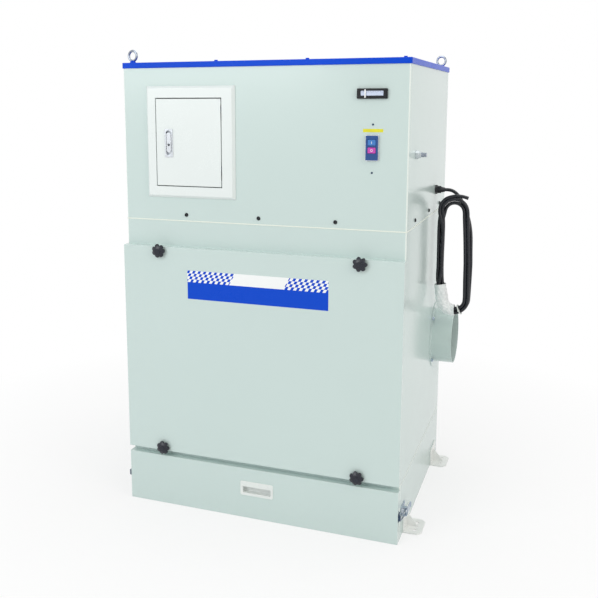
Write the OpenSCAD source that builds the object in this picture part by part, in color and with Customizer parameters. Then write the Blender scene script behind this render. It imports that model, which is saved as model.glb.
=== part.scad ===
// Pulse jet dust collector: a floor-standing cabinet of folded sheet steel. A knob-held cover
// closes the filter chamber, a side-latched drawer under it takes the dust, the fan chamber and
// the control box are above the seam, and the air comes in on the right side.
// The origin is on the floor under the middle of the cabinet. The front faces -Y, +Z is up.

/* [Cabinet] */
// Width of the cabinet walls
cabinet_w = 945; // [800:5:1100]
// Depth of the cabinet walls
cabinet_d = 740; // [620:5:900]
// Height from the floor to the top of the lid
cabinet_h = 1500; // [1250:5:1700]
// Thickness of the wall sheets
wall_t = 3; // [2:0.5:4]
// Outer radius of the upright folded corners
corner_r = 5; // [4.5:0.5:10]
// Height of the base that holds the drawer
base_h = 185; // [155:1:230]
// Height of the fan chamber with its lid
upper_h = 510; // [470:5:560]
// Thickness of the deck that shows as a thin line in the seam
deck_t = 4; // [3:0.5:6]
// How far the deck stands proud of the walls
deck_lip = 1.5; // [0.5:0.5:4]

/* [Lid] */
// Height of the lid skirt
lid_skirt = 18; // [12:1:30]
// Play between the lid skirt and the walls
lid_play = 0.5; // [0.3:0.1:1.5]
// Distance from the cabinet's edges to each lifting eye
eye_inset = 24; // [22:1:60]
// Radius of the lifting eye's ring, to the middle of its wire
eye_ring_r = 16; // [14:1:24]
// Radius of the lifting eye's wire
eye_wire_r = 4; // [3:0.5:6]

/* [Front cover] */
// Height of the wall strip that shows between the seam and the cover
strip_h = 86; // [60:1:120]
// Gap between the base and the cover's lower edge
cover_gap = 8; // [4:1:15]
// Depth of the cover pan
cover_depth = 26; // [20:1:40]
// Distance from the cabinet's sides to the star knob centres
knob_edge_x = 132.5; // [80:0.5:200]
// Distance from the cover's upper and lower edges to the star knob centres
knob_edge_z = 13; // [12:1:20]
// Outer diameter of a star knob
knob_d = 47; // [36:1:60]
// Number of lobes on a star knob
knob_lobes = 7; // [5:1:9]

/* [Dust drawer] */
// Distance from the top of the base down to the top of the drawer front
drawer_drop = 11; // [8:1:16]
// Distance from the top of the base down to the rim of the tray
tray_drop = 35; // [32:1:80]
// Distance between the tray and the rear wall
tray_rear_gap = 47; // [20:1:200]
// Play between the tray and the cabinet walls on each side
tray_play = 12; // [6:1:20]
// Height of the runner strips
runner_h = 8.7; // [5:0.1:15]
// Width of the hand pull in the drawer front
pull_w = 116; // [90:1:150]
// Height of the hand pull in the drawer front
pull_h = 50; // [40:1:70]
// Distance from the top of the drawer front to the middle of the hand pull
pull_drop = 69; // [50:1:90]

/* [Control box] */
// Distance from the cabinet's left side to the raised frame
frame_left = 85.5; // [60:0.5:120]
// Distance from the top of the lid down to the raised frame
frame_top = 75; // [50:1:90]
// Width of the raised frame round the control door
frame_w = 311; // [300:1:330]
// Height of the raised frame round the control door
frame_h = 359; // [340:1:380]
// How far the raised frame stands proud of the cabinet
frame_t = 12; // [10:1:16]
// Width of the control door
door_w = 227; // [200:1:240]
// Height of the control door
door_h = 278; // [240:1:290]
// Gap round the control door
door_gap = 3; // [2.5:0.5:4]
// Depth of the control box behind the cabinet front
control_depth = 130; // [80:5:200]

/* [Gauge and switch] */
// Distance from the cabinet's right side to the middle of the gauge
gauge_edge = 111.5; // [80:0.5:200]
// Distance from the top of the lid down to the middle of the gauge
gauge_drop = 103; // [70:1:150]
// Width of the gauge case
gauge_w = 92; // [70:1:120]
// Height of the gauge case
gauge_h = 30; // [24:1:40]
// Distance from the cabinet's right side to the middle of the switch
switch_edge = 109.5; // [80:0.5:200]
// Distance from the top of the lid down to the middle of the switch
switch_drop = 262; // [220:1:320]

/* [Inlet] */
// Outer diameter of the inlet spigot
inlet_d = 200; // [150:5:230]
// Length of the inlet spigot outside the wall
inlet_len = 74; // [50:1:120]
// Wall of the inlet spigot
inlet_wall = 2; // [1.5:0.5:4]
// Height of the inlet centre above the base
inlet_rise = 330; // [200:5:400]
// Distance of the inlet centre in front of the cabinet's rear
inlet_rear = 130; // [125:5:300]
// How far the inlet flange reaches past the spigot
flange_reach = 22; // [15:1:25]

/* [Feet] */
// Length of a floor bracket along the wall
bracket_l = 100; // [80:5:140]
// How far a floor bracket reaches out
bracket_reach = 60; // [50:1:90]
// Height of a floor bracket's upright
bracket_h = 62; // [50:1:90]
// Thickness of a floor bracket
bracket_t = 4; // [3:0.5:6]
// Distance from the cabinet's front and rear to the bracket centres
bracket_inset = 105; // [70:5:200]

/* [Latches] */
// Height of the latch centres above the floor
latch_z = 88; // [80:1:110]
// Distance of the latch pivot out from the wall
latch_pivot_out = 14; // [13:0.5:18]
// Diameter of the latch bail's wire
bail_wire_d = 3.5; // [3:0.5:4]

/* [Exhaust] */
// Width of the louvre plate on the rear
louvre_plate_w = 420; // [300:10:600]
// Number of louvres in each of the two columns
louvre_rows = 6; // [3:1:8]

/* [Power cord] */
// Diameter of the power cord
cord_d = 12; // [10:0.5:13]

/* [Hidden] */
$fn = 64;
eps = 0.01;

// Colours
ivory = [0.82, 0.85, 0.80];
white_paint = [0.91, 0.93, 0.93];
lid_blue = [0.12, 0.34, 0.74];
zinc = [0.72, 0.75, 0.78];
black = [0.04, 0.04, 0.06];

// Clearance between pieces that slide past each other
slide_gap = 0.3;
// Play of a pin in its hole, on the radius
pin_play = 0.05;

// Faces and levels of the cabinet
body_front = -cabinet_d / 2;
body_rear = cabinet_d / 2;
body_side = cabinet_w / 2;
seam_z = cabinet_h - upper_h;
upper_low = seam_z + deck_t / 2;
lower_high = seam_z - deck_t / 2;
upper_high = cabinet_h - wall_t;
mitre = corner_r + 2 * wall_t;

// Front cover and the chamber opening behind it
cover_face = body_front - cover_depth;
cover_low = base_h + cover_gap;
cover_high = seam_z - strip_h;
cover_side = body_side + 1.5;
frame_stile = 40;
opening_low = cover_low + frame_stile;
opening_high = cover_high - frame_stile - 5;

// Star knobs
knob_x = body_side - knob_edge_x;
knob_z_low = cover_low + knob_edge_z;
knob_z_high = cover_high - knob_edge_z;
knob_h = 20;
knob_stud_d = 8;
knob_neck_d = 22;
knob_neck_h = 7;
knob_dome_r = 34;
knob_stud_past = 8;

// Control box, seen from the front
control_x = -body_side + frame_left + frame_w / 2;
control_z = cabinet_h - frame_top - frame_h / 2;
frame_chamfer = 8;
door_off_x = -4;
door_off_z = -0.5;
door_x = control_x + door_off_x;
door_z = control_z + door_off_z;
door_sheet = 2;
door_pan = 14;
door_face = body_front - frame_t;
door_left = door_x - door_w / 2;
door_right = door_x + door_w / 2;
door_open_w = door_w + 2 * door_gap;
door_open_h = door_h + 2 * door_gap;
control_sheet = 2;

// Control door hinge: the pins stand behind the door's right edge
hinge_back = 6;
hinge_x = door_right - hinge_back;
hinge_y = door_face + hinge_back;
hinge_r = 3;
hinge_pin_r = 1.5;
hinge_len = 20;
hinge_spread = 95;
hinge_leaf_t = 2;

// Flush lock on the control door
lock_x = door_left + 45;
lock_z = door_z - 2;
lock_plate_w = 28;
lock_plate_h = 90;
lock_plate_t = 2.5;
lock_tub_w = 24;
lock_tub_h = 86;
lock_tub_depth = 11;
lock_recess_h = 81;
lever_w = 16;
lever_h = 64;
lever_t = 6;
lever_side_play = 1.5;
lever_pivot_drop = 5;
lever_top = lock_z + 34;
lever_axis_y = door_face + 1.5;
lever_axis_z = lever_top - lever_pivot_drop;
lever_pin_r = 1.5;
key_r = 4.2;
key_z = lock_z - 5;

// Gauge
gauge_x = body_side - gauge_edge;
gauge_z = cabinet_h - gauge_drop;
gauge_t = 10;
gauge_border = 11;
gauge_window_h = 16;
gauge_window_depth = 3;
dial_t = 1.5;
dial_play = 1;
pointer_w = 4;
pointer_at = -20;

// Push-button switch
switch_x = body_side - switch_edge;
switch_z = cabinet_h - switch_drop;
switch_w = 37;
switch_h = 73;
switch_t = 9;
switch_rim = 2.5;
switch_rim_t = 4;
button_w = 24;
button_h = 17;
button_play = 0.5;
button_proud = 1.5;
button_t = 5;
button_floor = 1.2;
on_button_z = switch_z + 16;
off_button_z = switch_z - 7;

// Dust drawer
drawer_sheet = 2;
drawer_high = base_h - drawer_drop;
tray_low = wall_t + runner_h + slide_gap;
tray_high = base_h - tray_drop;
tray_side = body_side - wall_t - tray_play;
tray_rear = body_rear - wall_t - tray_rear_gap;
tray_rim = 8;
rail_clear = 6;
rail_low = tray_high + rail_clear;
runner_x = tray_side - 60;
runner_w = 12;
runner_back_gap = 40;
pull_z = drawer_high - pull_drop;
pull_depth = 20;
pull_rim = 7;
pull_proud = 2;
pull_wall = 2;
pull_r = 6;

// Latches, drawn with the pivot as origin: X points out of the wall, Y backwards
latch_pivot_y = body_front + 32;
latch_arm = 7;
latch_sheet = 2;
latch_plate_h = 32;
latch_plate_back = 42;
latch_plate_front = 14;
latch_ear_z = 12.5;
latch_ear_w = 16;
latch_flange_z = 9;
latch_flange_r = 4;
latch_strap_out = 3;
latch_strap_len = 46;
latch_strap_start = 4;
latch_curl_r = 4;
latch_pin_r = 2;
bail_z = 7;
bail_side = 2.6;
bail_reach = 44;
hook_lip = 6;
hook_lip_t = 3;
hook_h = 26;
hook_border = 3;
hook_y = latch_pivot_y - latch_arm - bail_reach;
bail_drop = latch_pivot_out - hook_lip - bail_wire_d / 2 - 0.5;

// Floor brackets
bracket_chamfer = 14;
bracket_hole_d = 13;
bracket_hole_pitch = 50;
bracket_hole_out = 35;
bracket_web_t = 4;

// Inlet, air fitting and gland
inlet_y = body_rear - inlet_rear;
inlet_z = base_h + inlet_rise;
inlet_r = inlet_d / 2;
flange_t = 2.5;
gland_y = body_rear - 227;
gland_z = seam_z + 79;
gland_nut_h = 8;
gland_body_r = 11;
gland_ribs = 12;
gland_body_h = 14;
gland_dome_h = 12;
air_y = body_front + 108;
air_z = cabinet_h - 286;
air_nut_h = 10;
air_barrel_h = 8;
air_nipple_r = 7;
air_nipple_h = 16;

// Exhaust louvres on the rear
louvre_z = cabinet_h - 190;
louvre_pitch = 32;
louvre_len = 160;
louvre_column_x = 98;
louvre_hood_r = 12;
louvre_hood_t = 1.5;
louvre_slot_h = 9;
louvre_plate_h = louvre_rows * louvre_pitch + 38;
louvre_plate_t = 2;
louvre_window_border = 20;

// Hanging coil of the power cord, and the sleeve round its lower bend
gland_mouth = gland_nut_h + gland_body_h + gland_dome_h;
hang_out = 80.5;
hang_ahead = 43;
hang_drop = 17;
hang_h = 446;
coil_x = body_side + hang_out;
coil_y = gland_y - hang_ahead;
coil_high = gland_z - hang_drop;
coil_low = coil_high - hang_h;
coil_r = 48;
coil_bundle = 36;
sleeve_t = 3;
// Route of the cord from the gland's mouth to the coil, and of its cut end beside the coil's top
cord_steps = [[0, 0, 0], [13.5, 0, 0], [27.5, -2, -2], [41.5, -6, -7], [54.5, -11, -15],
    [65.5, -16, -25], [74.5, -18, -37], [81.5, -18.5, -51]];
cord_points = [for (p = cord_steps) [body_side + gland_mouth, gland_y, gland_z] + p];
tail_steps = [[-6, -24.5, -18], [7, -25, -18], [20, -26, -22], [32, -27, -30]];
tail_points = [for (p = tail_steps) [coil_x, coil_y, coil_high] + p];

// Shared shapes

// A box between two corners
module span(low, high) {
    translate(low) cube(high - low);
}

// A box w wide and h high, centred on x and z, from y back by depth
module face_box(x, z, w, h, y, depth) {
    translate([x - w / 2, y, z - h / 2]) cube([w, depth, h]);
}

// An outline drawn in X and Z at x and z, from y back by depth
module upright(x, z, y, depth) {
    translate([x, y + depth, z]) rotate([90, 0, 0]) linear_extrude(depth) children();
}

// A slot outline with round ends, standing up, w wide and h high
module slot_outline(w, h) {
    square([w, h - w], center = true);
    for (side = [-1, 1]) translate([0, side * (h - w) / 2]) circle(d = w);
}

// A rectangle with round corners, centred
module round_outline(w, h, r) {
    square([w - 2 * r, h], center = true);
    square([w, h - 2 * r], center = true);
    for (x = [-1, 1], y = [-1, 1]) translate([x * (w / 2 - r), y * (h / 2 - r)]) circle(r = r);
}

// A round rod along X
module rod_x(r, length, centre = false) {
    rotate([0, 90, 0]) cylinder(r = r, h = length, center = centre);
}

// Mirrors its children to the left when side is -1
module on_side(side) mirror([side < 0 ? 1 : 0, 0, 0]) children();

// A tube swept along a list of points
module swept(points, d, sides = 10) {
    count = len(points);
    ring = function(i) let (
        before = points[max(i - 1, 0)],
        after = points[min(i + 1, count - 1)],
        along = (after - before) / norm(after - before),
        side = let (c = cross(along, [0.03, 1, 0.02])) c / norm(c),
        up = cross(side, along)
    ) [for (k = [0:sides - 1]) points[i]
        + d / 2 * (cos(360 * k / sides) * side + sin(360 * k / sides) * up)];
    vertices = [for (i = [0:count - 1]) each ring(i)];
    walls = [for (i = [0:count - 2], k = [0:sides - 1]) let (n = (k + 1) % sides)
        [i * sides + k, i * sides + n, (i + 1) * sides + n, (i + 1) * sides + k]];
    first_end = [for (k = [0:sides - 1]) sides - 1 - k];
    last_end = [for (k = [0:sides - 1]) (count - 1) * sides + k];
    polyhedron(vertices, concat([first_end], walls, [last_end]), convexity = 4);
}

// Cabinet walls: one folded ring of sheet, mitred into its four sides

module wall_ring(low, high) translate([0, 0, low]) linear_extrude(high - low) difference() {
    round_outline(cabinet_w, cabinet_d, corner_r);
    round_outline(cabinet_w - 2 * wall_t, cabinet_d - 2 * wall_t, corner_r - wall_t);
}

// The part of a wall ring on the right or left side
module side_of_ring(side, low, high) intersection() {
    wall_ring(low, high);
    on_side(side) translate([0, 0, low - 1]) linear_extrude(high - low + 2)
        polygon([[body_side + 1, body_front - 1], [body_side + 1, body_rear + 1],
            [body_side - mitre, body_rear - mitre], [body_side - mitre, body_front + mitre]]);
}

// The part of a wall ring on the rear or front side
module end_of_ring(end, low, high) intersection() {
    wall_ring(low, high);
    translate([0, 0, low - 1]) linear_extrude(high - low + 2)
        polygon([[-body_side - 1, end * (body_rear + 1)], [body_side + 1, end * (body_rear + 1)],
            [body_side - mitre, end * (body_rear - mitre)], [-body_side + mitre, end * (body_rear - mitre)]]);
}

module base_pan() color(ivory) {
    inner = body_side - wall_t;
    difference() {
        linear_extrude(base_h) round_outline(cabinet_w, cabinet_d, corner_r);
        span([-inner, body_front - 1, wall_t], [inner, body_front + corner_r, rail_low]);
        span([-inner, body_front + wall_t, wall_t], [inner, body_rear - wall_t, base_h + 1]);
    }
    for (side = [-1, 1])
        span([side * runner_x - runner_w / 2, body_front + wall_t, wall_t - eps],
            [side * runner_x + runner_w / 2, body_rear - runner_back_gap, wall_t + runner_h]);
}

module left_wall() color(ivory) side_of_ring(-1, base_h, lower_high);

module right_wall() color(ivory) difference() {
    side_of_ring(1, base_h, lower_high);
    translate([body_side - wall_t - 1, inlet_y, inlet_z]) rod_x(inlet_r - inlet_wall, wall_t + 2);
}

module rear_wall() color(ivory) end_of_ring(1, base_h, lower_high);

// Frame of the chamber opening, with the holes that take the knob studs
module front_frame() color(ivory) difference() {
    end_of_ring(-1, base_h, lower_high);
    span([-body_side + wall_t + frame_stile, body_front - 1, opening_low],
        [body_side - wall_t - frame_stile, body_front + wall_t + 1, opening_high]);
    for (x = [-knob_x, knob_x], z = [knob_z_low, knob_z_high])
        translate([x, body_front - 1, z]) rotate([-90, 0, 0]) cylinder(r = knob_stud_d / 2 + pin_play, h = wall_t + 2);
}

module seam_deck() color(white_paint) translate([0, 0, lower_high]) linear_extrude(deck_t)
    round_outline(cabinet_w + 2 * deck_lip, cabinet_d + 2 * deck_lip, corner_r + deck_lip);

module upper_left_wall() color(ivory) side_of_ring(-1, upper_low, upper_high);

module upper_right_wall() color(ivory) side_of_ring(1, upper_low, upper_high);

module upper_rear_wall() color(ivory) difference() {
    end_of_ring(1, upper_low, upper_high);
    face_box(0, louvre_z, louvre_plate_w - 2 * louvre_window_border, louvre_plate_h - 2 * louvre_window_border,
        body_rear - wall_t - 1, wall_t + 2);
}

module upper_front_wall() color(ivory) difference() {
    end_of_ring(-1, upper_low, upper_high);
    face_box(door_x, door_z, door_open_w, door_open_h, body_front - 1, wall_t + 2);
}

// Shallow pan turned over the top of the walls
module lid() color(lid_blue) {
    reach = wall_t + lid_play;
    difference() {
        translate([0, 0, cabinet_h - lid_skirt]) linear_extrude(lid_skirt)
            round_outline(cabinet_w + 2 * reach, cabinet_d + 2 * reach, corner_r + reach);
        translate([0, 0, cabinet_h - lid_skirt - 1]) linear_extrude(lid_skirt + 1 - wall_t)
            round_outline(cabinet_w + 2 * lid_play, cabinet_d + 2 * lid_play, corner_r + lid_play);
    }
}

// Ring on a tapered collar
module lifting_eye() {
    collar_h = 7;
    translate([0, 0, collar_h + eye_ring_r]) rotate([90, 0, 35])
        rotate_extrude() translate([eye_ring_r, 0]) circle(r = eye_wire_r);
    cylinder(r1 = 2.8 * eye_wire_r, r2 = 1.6 * eye_wire_r, h = collar_h + 1);
}

module lifting_eyes() color(zinc) for (side = [-1, 1])
    translate([side * (body_side - eye_inset), side * (body_rear - eye_inset), cabinet_h]) lifting_eye();

// Control box

module control_frame() color(white_paint) difference() {
    hull() {
        face_box(control_x, control_z, frame_w, frame_h, body_front - 2, 2);
        face_box(control_x, control_z, frame_w - 2 * frame_chamfer, frame_h - 2 * frame_chamfer, door_face, 2);
    }
    face_box(door_x, door_z, door_open_w, door_open_h, door_face - 1, frame_t + 2);
}

// Open box behind the door
module control_box() color(white_paint) {
    y = body_front + wall_t;
    difference() {
        face_box(door_x, door_z, door_open_w + 2 * control_sheet, door_open_h + 2 * control_sheet, y, control_depth);
        face_box(door_x, door_z, door_open_w, door_open_h, y - 1, control_depth + 1 - control_sheet);
    }
}

// Fixed knuckles with their pins, on leaves that reach the side of the control box
module control_hinge() color(zinc) for (side = [-1, 1])
    translate([hinge_x, hinge_y, door_z + side * hinge_spread]) {
        leaf_back = body_front + wall_t + 12 - hinge_y;
        cylinder(r = hinge_r, h = hinge_len);
        translate([0, 0, -hinge_len]) cylinder(r = hinge_pin_r, h = hinge_len + 1);
        translate([-hinge_leaf_t / 2, 0, 0]) cube([hinge_leaf_t, leaf_back, hinge_len]);
        translate([-hinge_leaf_t / 2, leaf_back - hinge_leaf_t, 0])
            cube([hinge_back + door_gap + hinge_leaf_t / 2, hinge_leaf_t, hinge_len]);
    }

// Pan with its edges turned inwards, notched for the hinges, and with the moving knuckles
module control_door() color(white_paint) {
    notch_h = 2 * hinge_len + 6;
    difference() {
        face_box(door_x, door_z, door_w, door_h, door_face, door_pan);
        face_box(door_x, door_z, door_w - 2 * door_sheet, door_h - 2 * door_sheet, door_face + door_sheet, door_pan);
        for (side = [-1, 1])
            face_box(door_right, door_z + side * hinge_spread, 2 * door_sheet + 2, notch_h, door_face + door_sheet, door_pan);
        upright(lock_x, lock_z, door_face - 1, door_pan) slot_outline(lock_tub_w + 0.4, lock_tub_h + 0.4);
    }
    for (side = [-1, 1]) translate([hinge_x, hinge_y, door_z + side * hinge_spread - hinge_len - 0.5])
        difference() {
            union() {
                cylinder(r = hinge_r, h = hinge_len);
                translate([-hinge_r, door_sheet - hinge_back - eps, 0])
                    cube([2 * hinge_r, hinge_back - door_sheet, hinge_len]);
            }
            translate([0, 0, -1]) cylinder(r = hinge_pin_r + pin_play, h = hinge_len + 2);
        }
}

// Plate with a round-ended tub in which the lever lies on its pin
module lock_plate() color(zinc) difference() {
    union() {
        upright(lock_x, lock_z, door_face - lock_plate_t, lock_plate_t) round_outline(lock_plate_w, lock_plate_h, 2);
        upright(lock_x, lock_z, door_face - eps, lock_tub_depth) slot_outline(lock_tub_w, lock_tub_h);
    }
    difference() {
        upright(lock_x, lock_z, door_face - lock_plate_t - 1, lock_tub_depth + lock_plate_t - 1)
            slot_outline(lever_w + 2 * lever_side_play, lock_recess_h);
        translate([lock_x, lever_axis_y, lever_axis_z]) rod_x(lever_pin_r, lock_tub_w, centre = true);
    }
}

// Flush lever with a round key barrel, pivoted near its upper end
module lock_lever() color(white_paint) {
    face = door_face - lock_plate_t;
    difference() {
        union() {
            upright(lock_x, lever_top - lever_h / 2, face, lever_t) slot_outline(lever_w, lever_h);
            translate([lock_x, face + 1, key_z]) rotate([90, 0, 0]) cylinder(r = key_r, h = 2);
        }
        translate([lock_x, lever_axis_y, lever_axis_z]) rod_x(lever_pin_r + pin_play, lever_w + 2, centre = true);
        face_box(lock_x, key_z, 1.2, key_r * 1.3, face - 2, 3);
    }
}

// Gauge and switch

module gauge_case() color(black) difference() {
    union() {
        upright(gauge_x, gauge_z, body_front - gauge_t + 3, gauge_t - 3) round_outline(gauge_w, gauge_h, 2);
        upright(gauge_x, gauge_z, body_front - gauge_t, 3 + eps) round_outline(gauge_w - 4, gauge_h - 4, 2);
    }
    face_box(gauge_x, gauge_z + 1, gauge_w - 2 * gauge_border, gauge_window_h, body_front - gauge_t - 1, gauge_window_depth + 1);
}

// Scale plate in the window and the white marker across it
module gauge_dial() color(white_paint) {
    window_floor = body_front - gauge_t + gauge_window_depth;
    face_box(gauge_x, gauge_z + 1, gauge_w - 2 * gauge_border - 2 * dial_play, gauge_window_h - 2 * dial_play,
        window_floor - dial_t, dial_t);
    face_box(gauge_x + pointer_at, gauge_z, pointer_w, gauge_h - 6, body_front - gauge_t - 1.5, 1.5);
}

module switch_case() color([0.12, 0.24, 0.48]) {
    difference() {
        upright(switch_x, switch_z, body_front - switch_t, switch_t) round_outline(switch_w, switch_h, 2.5);
        for (z = [on_button_z, off_button_z])
            face_box(switch_x, z, button_w + 2 * button_play, button_h + 2 * button_play,
                body_front - switch_t - 1, switch_t + 1 - button_floor);
    }
    switch_rim();
}

// Rim that holds the switch to the cabinet
module switch_rim() difference() {
    upright(switch_x, switch_z, body_front - switch_rim_t, switch_rim_t)
        round_outline(switch_w + 2 * switch_rim, switch_h + 2 * switch_rim, 3);
    upright(switch_x, switch_z, body_front - switch_rim_t - 1, switch_rim_t + 2)
        round_outline(switch_w - 0.2, switch_h - 0.2, 2.4);
}

module push_button(z) upright(switch_x, z, body_front - switch_t - button_proud, button_t)
    round_outline(button_w, button_h, 2);

module switch_on_button() color([0.2, 0.4, 0.7]) push_button(on_button_z);

module switch_off_button() color([0.7, 0.2, 0.55]) push_button(off_button_z);

// Front cover and its star knobs

module front_cover() color(ivory) difference() {
    span([-cover_side, cover_face, cover_low], [cover_side, body_front, cover_high]);
    span([-cover_side + wall_t, cover_face + wall_t, cover_low + wall_t],
        [cover_side - wall_t, body_front + 1, cover_high - wall_t]);
    for (x = [-knob_x, knob_x], z = [knob_z_low, knob_z_high])
        translate([x, cover_face - 1, z]) rotate([-90, 0, 0]) cylinder(d = knob_stud_d + 1, h = wall_t + 2);
}

// Lobed grip with a domed face and a round cap, on a neck and a stud
module star_knob(x, z) color(black) translate([x, cover_face - slide_gap, z]) rotate([90, 0, 0]) {
    lobe_d = knob_d * 0.27;
    lobe_at = (knob_d - lobe_d) / 2;
    grip_h = knob_h - knob_neck_h;
    cylinder(d1 = knob_neck_d, d2 = knob_neck_d + 4, h = knob_neck_h + 1);
    intersection() {
        translate([0, 0, knob_neck_h]) linear_extrude(grip_h) {
            circle(d = knob_d * 0.76);
            for (k = [0:knob_lobes - 1]) rotate(360 * k / knob_lobes) translate([lobe_at, 0]) circle(d = lobe_d);
        }
        translate([0, 0, knob_h - knob_dome_r]) sphere(r = knob_dome_r);
    }
    cylinder(d = knob_neck_d - 4, h = knob_h + 0.8);
    stud_back = cover_depth + wall_t + knob_stud_past;
    translate([0, 0, -stud_back]) cylinder(d = knob_stud_d, h = stud_back + 1);
}

module knob_upper_left() star_knob(-knob_x, knob_z_high);

module knob_upper_right() star_knob(knob_x, knob_z_high);

module knob_lower_left() star_knob(-knob_x, knob_z_low);

module knob_lower_right() star_knob(knob_x, knob_z_low);

// Dust drawer

module drawer_front() color(ivory) difference() {
    span([-body_side, cover_face, slide_gap], [body_side, body_front - slide_gap, drawer_high]);
    span([-body_side + drawer_sheet, cover_face + drawer_sheet, slide_gap + drawer_sheet],
        [body_side - drawer_sheet, body_front + 1, drawer_high - drawer_sheet]);
    upright(0, pull_z, cover_face - 1, drawer_sheet + 2)
        round_outline(pull_w - 2 * pull_rim, pull_h - 2 * pull_rim, pull_r - 2);
}

// Open tray with its rim turned inwards
module drawer_tray() color(zinc) difference() {
    span([-tray_side, body_front - slide_gap, tray_low], [tray_side, tray_rear, tray_high]);
    span([-tray_side + drawer_sheet, body_front + drawer_sheet, tray_low + drawer_sheet],
        [tray_side - drawer_sheet, tray_rear - drawer_sheet, tray_high - drawer_sheet]);
    span([-tray_side + tray_rim, body_front + tray_rim, tray_low + drawer_sheet],
        [tray_side - tray_rim, tray_rear - tray_rim, tray_high + 1]);
}

// Recessed pull: a rim on the drawer front, a pocket behind it and a lip to grip
module drawer_pull() color(white_paint) {
    pocket_w = pull_w - 2 * pull_rim;
    pocket_h = pull_h - 2 * pull_rim;
    difference() {
        union() {
            upright(0, pull_z, cover_face - pull_proud, pull_proud) round_outline(pull_w, pull_h, pull_r);
            upright(0, pull_z, cover_face - eps, pull_depth) round_outline(pocket_w, pocket_h, pull_r - 2);
        }
        upright(0, pull_z, cover_face - pull_proud - 1, pull_depth + pull_proud + 1 - pull_wall)
            round_outline(pocket_w - 2 * pull_wall, pocket_h - 2 * pull_wall, pull_r - 3);
    }
    lip_h = pocket_h / 3;
    face_box(0, pull_z + pocket_h / 2 - lip_h / 2, pocket_w - 4, lip_h, cover_face - pull_proud, pull_wall);
}

// Toggle latches. Each piece is drawn on the right wall and mirrored to the left.

module at_latch_pivot(side) on_side(side)
    translate([body_side + latch_pivot_out, latch_pivot_y, latch_z]) children();

module drawer_hooks() color([0.15, 0.18, 0.25]) for (side = [-1, 1]) on_side(side) {
    span([body_side, cover_face + hook_border, latch_z - hook_h / 2],
        [body_side + latch_sheet, body_front - hook_border, latch_z + hook_h / 2]);
    span([body_side, hook_y - hook_lip_t / 2, latch_z - hook_h / 2 + 3],
        [body_side + hook_lip, hook_y + hook_lip_t / 2, latch_z + hook_h / 2 - 3]);
}

// Plate with two ears and the pivot pin
module latch_bases() color(zinc) for (side = [-1, 1]) at_latch_pivot(side) {
    translate([-latch_pivot_out, -latch_plate_front, -latch_plate_h / 2])
        cube([latch_sheet, latch_plate_front + latch_plate_back, latch_plate_h]);
    for (z = [-latch_ear_z - latch_sheet, latch_ear_z]) translate([0, 0, z]) {
        translate([-latch_pivot_out, -latch_ear_w / 2, 0]) cube([latch_pivot_out, latch_ear_w, latch_sheet]);
        cylinder(r = latch_ear_w / 3.2, h = latch_sheet);
    }
    translate([0, 0, -latch_ear_z - 1]) cylinder(r = latch_pin_r, h = 2 * latch_ear_z + 2);
}

// Channel-shaped lever with a curled end
module latch_lever() color(zinc) {
    for (z = [-latch_flange_z - latch_sheet, latch_flange_z]) translate([0, 0, z]) difference() {
        union() {
            translate([-latch_flange_r, -latch_arm, 0])
                cube([latch_flange_r + latch_strap_out + latch_sheet, latch_arm + latch_strap_start + 8, latch_sheet]);
            translate([0, -latch_arm, 0]) cylinder(r = latch_flange_r, h = latch_sheet);
        }
        translate([0, 0, -1]) cylinder(r = latch_pin_r + pin_play, h = latch_sheet + 2);
        translate([0, -latch_arm, -1]) cylinder(r = bail_wire_d / 2 + pin_play, h = latch_sheet + 2);
    }
    strap_z = latch_flange_z + latch_sheet;
    strap_end = latch_strap_start + latch_strap_len;
    translate([latch_strap_out, latch_strap_start, -strap_z]) cube([latch_sheet, latch_strap_len, 2 * strap_z]);
    translate([latch_strap_out + latch_curl_r, strap_end, -strap_z + 2]) intersection() {
        difference() {
            cylinder(r = latch_curl_r, h = 2 * strap_z - 4);
            translate([0, 0, -1]) cylinder(r = latch_curl_r - latch_sheet + 0.2, h = 2 * strap_z);
        }
        translate([-latch_curl_r - 1, -0.5, -1]) cube([latch_curl_r + 1.5, latch_curl_r + 2, 2 * strap_z]);
    }
}

// Bail: two arms between the pins in the lever and the bar that lies on the hook
module latch_bail() color(zinc) translate([0, -latch_arm, 0]) {
    arm = norm([bail_drop, bail_reach]);
    for (z = [-1, 1]) {
        rotate([0, 0, -atan(bail_drop / bail_reach)]) translate([-bail_side / 2, -arm, z * bail_z - bail_side / 2])
            cube([bail_side, arm, bail_side]);
        translate([0, 0, z * (bail_z + 1) - 3]) cylinder(d = bail_wire_d, h = 6);
    }
    translate([-bail_drop, -bail_reach, -bail_z - 2]) cylinder(d = bail_wire_d, h = 2 * bail_z + 4);
}

module latch_lever_right() at_latch_pivot(1) latch_lever();

module latch_bail_right() at_latch_pivot(1) latch_bail();

module latch_lever_left() at_latch_pivot(-1) latch_lever();

module latch_bail_left() at_latch_pivot(-1) latch_bail();

// Floor brackets on the right side: foot, upright and a web between them

module floor_bracket(y) translate([body_side, y, 0]) {
    foot_l = bracket_l / 2 - bracket_chamfer;
    foot_out = bracket_reach - bracket_chamfer;
    difference() {
        linear_extrude(bracket_t) polygon([[0, -bracket_l / 2], [foot_out, -bracket_l / 2],
            [bracket_reach, -foot_l], [bracket_reach, foot_l], [foot_out, bracket_l / 2], [0, bracket_l / 2]]);
        for (side = [-1, 1]) translate([bracket_hole_out, side * bracket_hole_pitch / 2, -1])
            cylinder(d = bracket_hole_d, h = bracket_t + 2);
    }
    translate([0, -bracket_l / 2, 0]) cube([bracket_t, bracket_l, bracket_h]);
    translate([bracket_t, bracket_web_t / 2, bracket_t]) rotate([90, 0, 0]) linear_extrude(bracket_web_t)
        polygon([[-eps, -eps], [bracket_reach - 20, -eps], [-eps, bracket_h - 14]]);
}

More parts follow.
